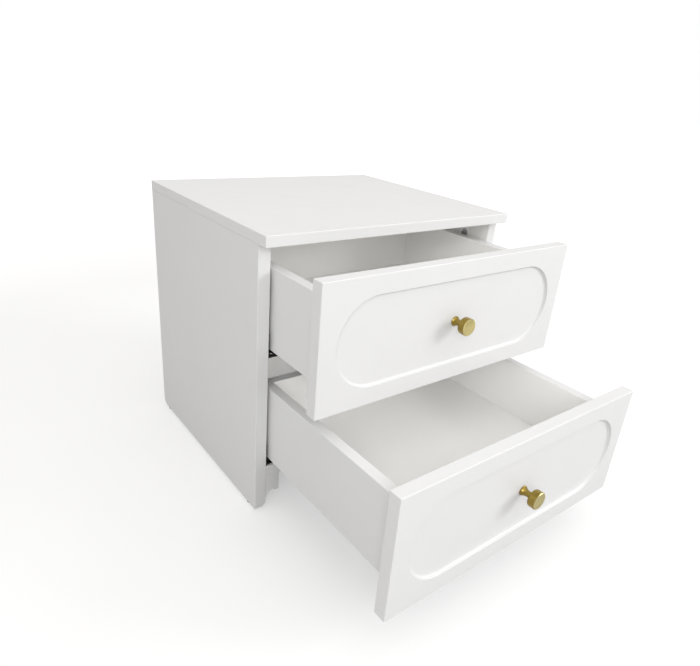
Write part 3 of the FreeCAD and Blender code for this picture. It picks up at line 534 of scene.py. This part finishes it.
def brass_material(settings):
    """Brass from a lathe: a pale face with brushed rings, paler edges of rubbed brass and a painted
    highlight, and flanks darkened by a painted dark reflection.
    """
    material, tree, shader, place = new_material(
        "turned_brass", Metallic=1.0, Anisotropic=0.7, Coat_Weight=0.2, Coat_Roughness=0.1)
    turned = add_node(tree, "ShaderNodeAttribute", attribute_name="turning")
    strokes = use_group(tree, "Brush strokes", turned.outputs["Vector"],
                        Rate=1 / settings.brush_pitch, Length=90.0)
    # Marks the edges, where the rubbing and the painted highlight go.
    rim_mask = use_group(tree, "Edge mask", place, Reach=0.4 * MM, Evenness=0.9)
    travel = add_node(tree, "ShaderNodeSeparateXYZ")
    join(tree, turned.outputs["Vector"], travel.inputs["Vector"])
    flank = rescale(tree, travel.outputs["Y"], settings.face_edge, settings.face_edge + 0.4 * MM,
                    0.0, 1.0)
    # Below the rim the brass takes the darker flank colour: a painted dark reflection.
    metal = blend_colours(tree, flank, settings.face_colour, settings.flank_dark_reflection_colour)
    lined = blend_colours(tree, rescale(tree, strokes.outputs["Tone"], 0.3, 0.7, 0.35, 0.0),
                          metal, tinted(settings.flank_dark_reflection_colour, 0.7))
    # Paler at the edges: rubbed brass and a painted highlight.
    bright = blend_colours(tree, calculate(tree, "MULTIPLY", rim_mask.outputs["Mask"], 0.5), lined,
                           settings.rubbed_and_highlight_colour)
    join(tree, bright, shader.inputs["Base Color"])
    rough = rescale(tree, strokes.outputs["Tone"], 0.3, 0.7, 0.22, 0.38)
    join(tree, rough, shader.inputs["Roughness"])
    tangent = add_node(tree, "ShaderNodeTangent", direction_type="UV_MAP", uv_map="turning_map")
    join(tree, tangent.outputs["Tangent"], shader.inputs["Tangent"])
    raise_bump(tree, shader, strokes.outputs["Height"], 0.004 * MM)
    return material


def coated_steel_material(settings):
    """Black electro-coated steel: a fine skin, and bare metal showing at a few edges."""
    material, tree, shader, place = new_material("black_coat", Metallic=0.15)
    skin = use_group(tree, "Sprayed skin", place, Ripple=1500.0, Wave=60.0)
    rim_mask = use_group(tree, "Edge mask", place, Reach=0.5 * MM, Breakup=260.0, Evenness=0.32)
    coat = blend_colours(tree, skin.outputs["Mottle"], tinted(settings.coat_colour, 0.8),
                         tinted(settings.coat_colour, 1.6))
    edge_toned = blend_colours(tree, calculate(tree, "MULTIPLY", rim_mask.outputs["Mask"], 0.7), coat,
                         settings.bare_colour)
    join(tree, edge_toned, shader.inputs["Base Color"])
    join(tree, rescale(tree, skin.outputs["Smudge"], 0.0, 1.0, 0.34, 0.5),
         shader.inputs["Roughness"])
    raise_bump(tree, shader, skin.outputs["Height"], 0.01 * MM)
    return material


def plated_steel_material():
    """Bright zinc plate: drawn lines along its length and the cloudy bloom of the bath."""
    colour = RECORD_COLOURS["zinc_steel"]
    material, tree, shader, place = new_material("zinc_plate", Metallic=1.0)
    turned = add_node(tree, "ShaderNodeMapping")
    turned.inputs["Rotation"].default_value = (0, 0, math.radians(90))
    join(tree, place, turned.inputs["Vector"])
    strokes = use_group(tree, "Brush strokes", turned.outputs["Vector"], Rate=2200.0, Length=25.0)
    skin = use_group(tree, "Sprayed skin", place, Wave=90.0)
    bloom = blend_colours(tree, skin.outputs["Smudge"], colour, tinted(colour, 0.8))
    lined = blend_colours(tree, strokes.outputs["Tone"], bloom, tinted(colour, 1.1))
    join(tree, lined, shader.inputs["Base Color"])
    join(tree, rescale(tree, skin.outputs["Smudge"], 0.0, 1.0, 0.26, 0.42),
         shader.inputs["Roughness"])
    raise_bump(tree, shader, strokes.outputs["Height"], 0.004 * MM)
    return material


def cast_zinc_material():
    """Die-cast zinc: dull and slightly grainy, brighter where the edges are rubbed."""
    colour = RECORD_COLOURS["zinc_casting"]
    material, tree, shader, place = new_material("cast_zinc", Metallic=0.9)
    skin = use_group(tree, "Sprayed skin", place, Ripple=2600.0, Wave=300.0)
    rim_mask = use_group(tree, "Edge mask", place, Reach=0.4 * MM, Evenness=0.7)
    cast = blend_colours(tree, skin.outputs["Mottle"], tinted(colour, 0.75), colour)
    join(tree, blend_colours(tree, rim_mask.outputs["Mask"], cast, tinted(colour, 1.3)),
         shader.inputs["Base Color"])
    join(tree, rescale(tree, skin.outputs["Smudge"], 0.0, 1.0, 0.45, 0.6),
         shader.inputs["Roughness"])
    raise_bump(tree, shader, skin.outputs["Height"], 0.03 * MM)
    return material


def beech_material():
    """Raw turned beech, with its short flecks and long pale grain."""
    colour = RECORD_COLOURS["beech_dowel"]
    material, tree, shader, place = new_material("raw_beech")
    strokes = use_group(tree, "Brush strokes", place, Rate=900.0, Length=120.0)
    flecks = add_node(tree, "ShaderNodeTexVoronoi", {"Scale": 700.0})
    join(tree, place, flecks.inputs["Vector"])
    grain = blend_colours(tree, strokes.outputs["Tone"], tinted(colour, 0.78), tinted(colour, 1.12))
    spots = rescale(tree, flecks.outputs["Distance"], 0.0, 0.25, 0.5, 0.0)
    join(tree, blend_colours(tree, spots, grain, tinted(colour, 0.6)), shader.inputs["Base Color"])
    join(tree, rescale(tree, strokes.outputs["Tone"], 0.2, 0.8, 0.6, 0.8),
         shader.inputs["Roughness"])
    raise_bump(tree, shader, strokes.outputs["Height"], 0.05 * MM)
    return material


def glide_material():
    """Matt grey moulded plastic, scuffed pale where it slides on the floor."""
    colour = RECORD_COLOURS["grey_plastic"]
    material, tree, shader, place = new_material("moulded_grey")
    skin = use_group(tree, "Sprayed skin", place, Ripple=1800.0, Wave=200.0)
    rim_mask = use_group(tree, "Edge mask", place, Evenness=0.6)
    moulded = blend_colours(tree, skin.outputs["Mottle"], tinted(colour, 0.8), tinted(colour, 1.1))
    join(tree, blend_colours(tree, rim_mask.outputs["Mask"], moulded, tinted(colour, 1.8)),
         shader.inputs["Base Color"])
    join(tree, rescale(tree, skin.outputs["Smudge"], 0.0, 1.0, 0.5, 0.7),
         shader.inputs["Roughness"])
    raise_bump(tree, shader, skin.outputs["Height"], 0.02 * MM)
    return material


def material_for(name, make, *values):
    """Return the material of that name, made the first time that it is asked for."""
    return bpy.data.materials.get(name) or make(*values)


def lacquered_board():
    settings = bpy.context.scene.nightstand_boards
    return material_for("white_lacquer", board_material, "white_lacquer", settings.colour,
                        settings.roughness, settings.peel_size, settings.peel_height)


# The board's white made paler on the inward faces: painted bounce light.
def board_with_painted_bounce():
    settings = bpy.context.scene.nightstand_boards
    return material_for("white_board_painted_bounce", board_material, "white_board_painted_bounce",
                        settings.inside_colour_with_painted_bounce, settings.inside_roughness, settings.peel_size,
                        settings.peel_height * settings.inside_ripple)


def brass():
    return material_for("turned_brass", brass_material, bpy.context.scene.nightstand_knobs)


def coated_steel():
    return material_for("black_coat", coated_steel_material, bpy.context.scene.nightstand_steel)


def plated_steel():
    return material_for("zinc_plate", plated_steel_material)


# ---- Pieces --------------------------------------------------------------------------

def body_of(node):
    """Return the name of the CAD body that a node rides on."""
    return frame["nodes"][node]["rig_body"]


def set_piece(name, shape, node, *materials):
    """Turn a finished bmesh into a piece that stands for a CAD node and rides on its body."""
    mesh = bpy.data.meshes.new(name)
    shape.to_mesh(mesh)
    shape.free()
    for material in materials:
        mesh.materials.append(material)
    piece = bpy.data.objects.new(name, mesh)
    bpy.context.scene.collection.objects.link(piece)
    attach(piece, body_of(node))
    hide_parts(node)
    return piece


def keep_sharp(shape, angle):
    """Shade every face smooth, but keep the edges crisp that turn by more than the angle."""
    for face in shape.faces:
        face.smooth = True
    for edge in shape.edges:
        edge.smooth = edge.is_manifold and edge.calc_face_angle(0) < angle


def merged_copy(node):
    """Return a bmesh of a CAD node with its loose triangles joined."""
    shape = bmesh.new()
    shape.from_mesh(frame["nodes"][node].data)
    bmesh.ops.remove_doubles(shape, verts=shape.verts, dist=0.001 * MM)
    return shape


def weight_normals(piece):
    """Shade the large flat faces flat and leave the turn to the rounds between them."""
    modifier = piece.modifiers.new("Flat faces", "WEIGHTED_NORMAL")
    modifier.keep_sharp = True
    modifier.mode = "FACE_AREA_WITH_ANGLE"


def set_board(shape, node, inward=None):
    """Place a board. It is lacquered; the faces that look inward, where that way is given,
    get the board's white made paler with painted bounce light."""
    keep_sharp(shape, bpy.context.scene.nightstand_boards.sharp_angle)
    materials = [lacquered_board()]
    # Faces that look inward get the paler white, which paints bounce light on the insides.
    if inward:
        materials.append(board_with_painted_bounce())
        for face in shape.faces:
            face.material_index = int(face.normal.dot(Vector(inward)) > 0.5)
    piece = set_piece(node + "_board", shape, node, *materials)
    weight_normals(piece)


def recess_section(settings):
    """Return the recess's section, as steps inward and down from the face of the front."""
    turn = math.radians(90) - settings.slope
    count = settings.round_steps
    angles = [turn * index / count for index in range(count + 1)]
    places = [(settings.lip * math.sin(angle), settings.lip * (1 - math.cos(angle)))
              for angle in angles]
    fall = settings.depth - (settings.lip + settings.cove) * (1 - math.cos(turn))
    inward, down = places[-1][0] + fall * math.tan(settings.slope), places[-1][1] + fall
    places += [(inward + settings.cove * (math.sin(turn) - math.sin(angle)),
                down + settings.cove * (math.cos(angle) - math.cos(turn)))
               for angle in reversed(angles)]
    return [(after[0] - before[0], after[1] - before[1])
            for before, after in zip(places, places[1:])]


def recessed_front(node, settings):
    """Cut a slab with eased edges, and sink a long recess with half-round ends in its face."""
    low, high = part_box(node)
    middle, half = (low + high) / 2, (high - low) / 2
    shape = bmesh.new()
    bmesh.ops.create_cube(shape, size=2,
                          matrix=Matrix.Translation(middle) @ Matrix.Diagonal((*half, 1)))
    bmesh.ops.bevel(shape, geom=shape.edges[:], offset=settings.edge_round,
                    segments=settings.edge_steps, profile=0.5, affect="EDGES", material=-1)
    shape.normal_update()
    face = min(shape.faces, key=lambda item: item.calc_center_median().y)
    rim = face.edges[:]
    bmesh.ops.delete(shape, geom=[face], context="FACES_ONLY")
    opening = settings.lip * math.tan((math.radians(90) - settings.slope) / 2)
    radius = half.z - settings.margin + opening
    stand = (Matrix.Translation((middle.x, low.y, middle.z))
             @ Matrix.Rotation(math.radians(90), 4, "X"))
    half_step = math.pi / settings.end_steps
    made = bmesh.ops.create_circle(shape, cap_ends=True, segments=settings.end_steps,
                                   radius=radius, matrix=stand @ Matrix.Rotation(half_step, 4, "Z"))
    for vertex in made["verts"]:
        vertex.co.x += math.copysign(half.x - half.z, vertex.co.x - middle.x)
    floor = made["verts"][0].link_faces[0]
    bmesh.ops.triangle_fill(shape, edges=rim + floor.edges[:], normal=(0, -1, 0), use_beauty=True)
    floor.normal_update()
    if floor.normal.y > 0:
        floor.normal_flip()
    for inward, down in recess_section(settings):
        if inward or down:
            bmesh.ops.inset_individual(shape, faces=[floor], thickness=inward, depth=-down,
                                       use_even_offset=True)
    bmesh.ops.recalc_face_normals(shape, faces=shape.faces)
    return shape


def finish_metal(node, ending, material, radius, steps):
    """Stand a copy with eased edges and soft bends for a CAD slide or fitting."""
    settings = bpy.context.scene.nightstand_steel
    shape = merged_copy(node)
    bmesh.ops.dissolve_limit(shape, angle_limit=settings.flat_angle, verts=shape.verts,
                             edges=shape.edges)
    keep_sharp(shape, settings.sharp_angle)
    piece = set_piece(node + ending, shape, node, material)
    soften = piece.modifiers.new("Eased edges", "BEVEL")
    soften.width = radius
    soften.segments = steps
    soften.limit_method = "ANGLE"
    soften.angle_limit = settings.eased_angle
    soften.harden_normals = True


class ProfilePen:
    """Draws a lathe profile as edges: across is measured from the axis, along down it."""

    def __init__(self, shape, middle, axis, across, along):
        self.shape = shape
        self.middle = Vector(middle)
        self.axis = Vector(axis).normalized()
        helper = Vector((0, 0, 1)) if abs(self.axis.z) < 0.9 else Vector((1, 0, 0))
        self.out = self.axis.cross(helper).normalized()
        self.tip = bmesh.ops.create_vert(shape, co=self.point(across, along))["vert"][0]

    def point(self, across, along):
        return self.middle + self.out * across + self.axis * along

    def line(self, across, along):
        """Draw a straight line to a place."""
        drawn = bmesh.ops.extrude_vert_indiv(self.shape, verts=[self.tip])
        self.tip = drawn["verts"][0]
        self.tip.co = self.point(across, along)

    def arc(self, across, along, angle, steps):
        """Draw an arc about a centre; a positive angle turns from the axis outwards."""
        turned = bmesh.ops.spin(self.shape, geom=[self.tip], cent=self.point(across, along),
                                axis=self.out.cross(self.axis), angle=angle, steps=steps)
        self.tip = next(item for item in turned["geom_last"]
                        if isinstance(item, bmesh.types.BMVert))

    def turn(self, steps):
        """Turn the drawn profile once round the axis and close it."""
        bmesh.ops.spin(self.shape, geom=self.shape.verts[:] + self.shape.edges[:],
                       cent=self.middle, axis=self.axis, angle=2 * math.pi, steps=steps,
                       use_merge=True)
        bmesh.ops.remove_doubles(self.shape, verts=self.shape.verts, dist=0.001 * MM)
        bmesh.ops.recalc_face_normals(self.shape, faces=self.shape.faces)


def knob_shape(node, settings):
    """Turn a knob: a flat face, a chamfer, a rim, a round back, a waist, a flared base and the
    hole for its screw."""
    low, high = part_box(node)
    centre = (low + high) / 2
    face = Vector((centre.x, low.y, centre.z))
    head_radius = (high.x - low.x) / 2
    length = high.y - low.y
    shape = bmesh.new()
    pen = ProfilePen(shape, face, (0, 1, 0), 0, 0)
    pen.line(head_radius - settings.chamfer, 0)
    pen.line(head_radius, settings.chamfer)
    pen.line(head_radius, settings.head_thickness - settings.back_round)
    pen.arc(head_radius - settings.back_round, settings.head_thickness - settings.back_round,
            math.radians(90), settings.back_steps)
    pen.line(settings.neck_radius, settings.head_thickness)
    rim = length - settings.base_rim
    drop = settings.base_radius - settings.neck_radius
    swing = math.acos(1 - drop / settings.flare_radius)
    pen.line(settings.neck_radius, rim - settings.flare_radius * math.sin(swing))
    pen.arc(settings.neck_radius + settings.flare_radius,
            rim - settings.flare_radius * math.sin(swing), -swing,
            settings.flare_steps)
    pen.line(settings.base_radius, length)
    pen.line(settings.bore_radius, length)
    pen.line(settings.bore_radius, length - settings.bore_depth)
    pen.line(0, length - settings.bore_depth)
    pen.turn(settings.steps)
    return shape, face


def mark_turning(piece, face):
    """Store where each corner lies on the turning: round the axis, and out from the face."""
    mesh = piece.data
    around = mesh.uv_layers.new(name="turning_map")
    turning = mesh.attributes.new("turning", "FLOAT_VECTOR", "POINT")
    for vertex in mesh.vertices:
        across = Vector((vertex.co.x - face.x, 0, vertex.co.z - face.z))
        travel = across.length + vertex.co.y - face.y
        turning.data[vertex.index].vector = (across.x, travel, across.z)
    for polygon in mesh.polygons:
        middle = math.atan2(polygon.center.z - face.z, polygon.center.x - face.x)
        for index in polygon.loop_indices:
            point = mesh.vertices[mesh.loops[index].vertex_index].co
            angle = math.atan2(point.z - face.z, point.x - face.x)
            angle = middle + math.remainder(angle - middle, 2 * math.pi)
            travel = math.hypot(point.x - face.x, point.z - face.z) + point.y - face.y
            around.data[index].uv = (angle / (2 * math.pi), travel / TURNING_SPAN)


# ---- Operators -----------------------------------------------------------------------

class NIGHTSTAND_OT_finish_carcass(Operator):
    """Finish the top, the sides, the bottom, the back and the bracket feet"""

    bl_idname = "nightstand.finish_carcass"
    bl_label = "Finish carcass"

    def execute(self, context):
        for node in ("left_foot_bracket", "right_foot_bracket"):
            set_board(merged_copy(node), node)
        inward = {"top_panel": (0, 0, -1), "bottom_panel": (0, 0, 1), "back_panel": (0, -1, 0),
                  "left_side_panel": (1, 0, 0), "right_side_panel": (-1, 0, 0)}
        for node, way in inward.items():
            set_board(merged_copy(node), node, way)
        return {"FINISHED"}


class NIGHTSTAND_OT_finish_drawers(Operator):
    """Finish the recessed fronts and the drawer boxes"""

    bl_idname = "nightstand.finish_drawers"
    bl_label = "Finish drawers"

    def execute(self, context):
        inward = {"back": (0, -1, 0), "floor": (0, 0, 1),
                  "left_side": (1, 0, 0), "right_side": (-1, 0, 0)}
        for drawer in DRAWERS:
            front = f"{drawer}_drawer_front"
            shape = recessed_front(front, context.scene.nightstand_fronts)
            set_board(shape, front, (0, 1, 0))
            for part, way in inward.items():
                node = f"{drawer}_drawer_{part}"
                set_board(merged_copy(node), node, way)
        return {"FINISHED"}


class NIGHTSTAND_OT_turn_knobs(Operator):
    """Turn the two brass knobs"""

    bl_idname = "nightstand.turn_knobs"
    bl_label = "Turn knobs"

    def execute(self, context):
        settings = context.scene.nightstand_knobs
        for drawer in DRAWERS:
            node = f"{drawer}_knob"
            shape, face = knob_shape(node, settings)
            keep_sharp(shape, settings.sharp_angle)
            piece = set_piece(node + "_turned", shape, node, brass())
            mark_turning(piece, face)
        return {"FINISHED"}


class NIGHTSTAND_OT_roll_slides(Operator):
    """Finish the fixed rails, the middle members and the runners of the slides"""

    bl_idname = "nightstand.roll_slides"
    bl_label = "Roll slides"

    def execute(self, context):
        radius = context.scene.nightstand_steel.bend_round
        for drawer in DRAWERS:
            for side in SIDES:
                for part, steel in (("fixed_rail", coated_steel()), ("runner", coated_steel()),
                                    ("middle_member", plated_steel())):
                    finish_metal(f"{drawer}_{side}_{part}", "_rolled", steel, radius, 2)
        return {"FINISHED"}


class NIGHTSTAND_OT_fit_hardware(Operator):
    """Ease and finish the screws, cams, bolts, dowels and glides"""

    bl_idname = "nightstand.fit_hardware"
    bl_label = "Fit hardware"

    def execute(self, context):
        settings = context.scene.nightstand_steel
        beech = material_for("raw_beech", beech_material)
        fittings = {"cam_discs": material_for("cast_zinc", cast_zinc_material),
                    "cam_bolts": plated_steel(), "rail_screws": plated_steel()}
        for drawer in DRAWERS:
            fittings[f"{drawer}_runner_screws"] = plated_steel()
            fittings[f"{drawer}_knob_screw"] = plated_steel()
            finish_metal(f"{drawer}_drawer_dowels", "_chamfered", beech,
                         settings.dowel_chamfer, 1)
        for node, metal in fittings.items():
            finish_metal(node, "_eased", metal, settings.fitting_round, 2)
        finish_metal("carcass_dowels", "_chamfered", beech, settings.dowel_chamfer, 1)
        finish_metal("floor_glides", "_moulded", material_for("moulded_grey", glide_material),
                     settings.glide_round, 3)
        return {"FINISHED"}


class NIGHTSTAND_OT_set_studio(Operator):
    """Lay the pale floor, hang the softboxes and set the camera"""

    bl_idname = "nightstand.set_studio"
    bl_label = "Set studio"

    def execute(self, context):
        settings = context.scene.nightstand_studio
        lay_floor(settings)
        light_sky(settings)
        hang_softbox("overhead_softbox", settings.overhead_place, settings.aim,
                     settings.overhead_width, settings.overhead)
        key = hang_softbox("key_softbox", settings.key_place, settings.aim,
                           settings.key_width, settings.key)
        key.color = settings.key_colour
        hang_softbox("fill_softbox", settings.fill_place, settings.aim,
                     settings.fill_width, settings.fill)
        straight_back = Vector(settings.inner_place) + Vector((0, 1, 0))
        strip = hang_softbox("inner_strip", settings.inner_place, straight_back,
                             settings.inner_width, settings.inner)
        strip.shape = "RECTANGLE"
        strip.size_y = settings.inner_height
        set_camera(settings)
        context.scene.view_settings.view_transform = "Standard"
        return {"FINISHED"}


# ---- Studio --------------------------------------------------------------------------

def floor_material(settings):
    """Pale matt paper with a barely visible tooth, which to the eye fades into a white sky."""
    material, tree, shader, place = new_material(
        "pale_floor", Roughness=0.9, Specular_IOR_Level=0.0, Emission_Color=(1, 1, 1, 1))
    distance = add_node(tree, "ShaderNodeVectorMath", operation="LENGTH")
    join(tree, place, distance.inputs[0])
    seen = add_node(tree, "ShaderNodeLightPath")
    fade = rescale(tree, distance.outputs["Value"], settings.fade_start, settings.fade_end,
                   settings.floor_glow, 1.0)
    join(tree, calculate(tree, "MULTIPLY", fade, seen.outputs["Is Camera Ray"]),
         shader.inputs["Emission Strength"])
    skin = use_group(tree, "Sprayed skin", place, Ripple=500.0, Wave=3.0)
    paper = blend_colours(tree, skin.outputs["Mottle"], tinted(settings.floor_colour, 0.995),
                          tinted(settings.floor_colour, 1.005))
    join(tree, paper, shader.inputs["Base Color"])
    raise_bump(tree, shader, skin.outputs["Height"], 0.02 * MM)
    return material


def lay_floor(settings):
    """Lay a wide round floor just under the glides."""
    shape = bmesh.new()
    bmesh.ops.create_circle(shape, cap_ends=True, segments=96, radius=settings.floor_radius,
                            matrix=Matrix.Translation((0, 0, -FLOOR_GAP)))
    mesh = bpy.data.meshes.new("floor")
    shape.to_mesh(mesh)
    shape.free()
    mesh.materials.append(floor_material(settings))
    floor = bpy.data.objects.new("floor", mesh)
    bpy.context.scene.collection.objects.link(floor)


def light_sky(settings):
    """An even world: plain white to look at, and slightly warm and as strong as set to light."""
    world = bpy.data.worlds.new("sky")
    world.use_nodes = True
    tree = world.node_tree
    background = tree.nodes["Background"]
    path = add_node(tree, "ShaderNodeLightPath")
    seen = path.outputs["Is Camera Ray"]
    colour = blend_colours(tree, seen, settings.sky_colour, (1, 1, 1))
    join(tree, colour, background.inputs["Color"])
    strength = rescale(tree, seen, 0, 1, settings.sky, 1.0)
    join(tree, strength, background.inputs["Strength"])
    bpy.context.scene.world = world


def hang_softbox(name, place, aim, width, power):
    """Hang one square softbox that faces the aim and isn't itself seen."""
    light = bpy.data.lights.new(name, "AREA")
    light.shape = "SQUARE"
    light.size = width
    light.energy = power
    lamp = bpy.data.objects.new(name, light)
    lamp.location = place
    lamp.rotation_euler = (Vector(place) - Vector(aim)).to_track_quat("Z", "Y").to_euler()
    lamp.visible_camera = False
    bpy.context.scene.collection.objects.link(lamp)
    return light


def set_camera(settings):
    """Stand the camera where the settings say, turned and shifted as they say."""
    data = bpy.data.cameras.new("camera")
    data.sensor_width = SENSOR_WIDTH
    data.lens = settings.lens
    data.shift_x = settings.shift[0]
    data.shift_y = settings.shift[1]
    data.clip_end = 200
    camera = bpy.data.objects.new("camera", data)
    turn = (Matrix.Rotation(-settings.azimuth, 4, "Z")
            @ Matrix.Rotation(math.radians(90) + settings.elevation, 4, "X")
            @ Matrix.Rotation(settings.roll, 4, "Z"))
    camera.matrix_world = Matrix.Translation(settings.camera_place) @ turn
    bpy.context.scene.collection.objects.link(camera)
    bpy.context.scene.camera = camera


# ---- Panel and registration ----------------------------------------------------------

OPERATORS = (
    NIGHTSTAND_OT_finish_carcass,
    NIGHTSTAND_OT_finish_drawers,
    NIGHTSTAND_OT_turn_knobs,
    NIGHTSTAND_OT_roll_slides,
    NIGHTSTAND_OT_fit_hardware,
    NIGHTSTAND_OT_set_studio,
)


class NIGHTSTAND_PT_sidebar(Panel):
    """Lists the nightstand's steps in the order in which they run"""

    bl_idname = "NIGHTSTAND_PT_sidebar"
    bl_label = "Nightstand"
    bl_space_type = "VIEW_3D"
    bl_region_type = "UI"
    bl_category = "Nightstand"

    def draw(self, context):
        for operator in OPERATORS:
            self.layout.operator(operator.bl_idname)


def register():
    for group in SETTINGS.values():
        bpy.utils.register_class(group)
    for name, group in SETTINGS.items():
        setattr(bpy.types.Scene, name, PointerProperty(type=group))
    for item in (*OPERATORS, NIGHTSTAND_PT_sidebar):
        bpy.utils.register_class(item)


def unregister():
    for item in reversed((*OPERATORS, NIGHTSTAND_PT_sidebar)):
        bpy.utils.unregister_class(item)
    for name in SETTINGS:
        delattr(bpy.types.Scene, name)
    for group in reversed(SETTINGS.values()):
        bpy.utils.unregister_class(group)


def main():
    register()
    for operator in OPERATORS:
        family, name = operator.bl_idname.split(".")
        getattr(getattr(bpy.ops, family), name)()


if __name__ == "__main__":
    main()
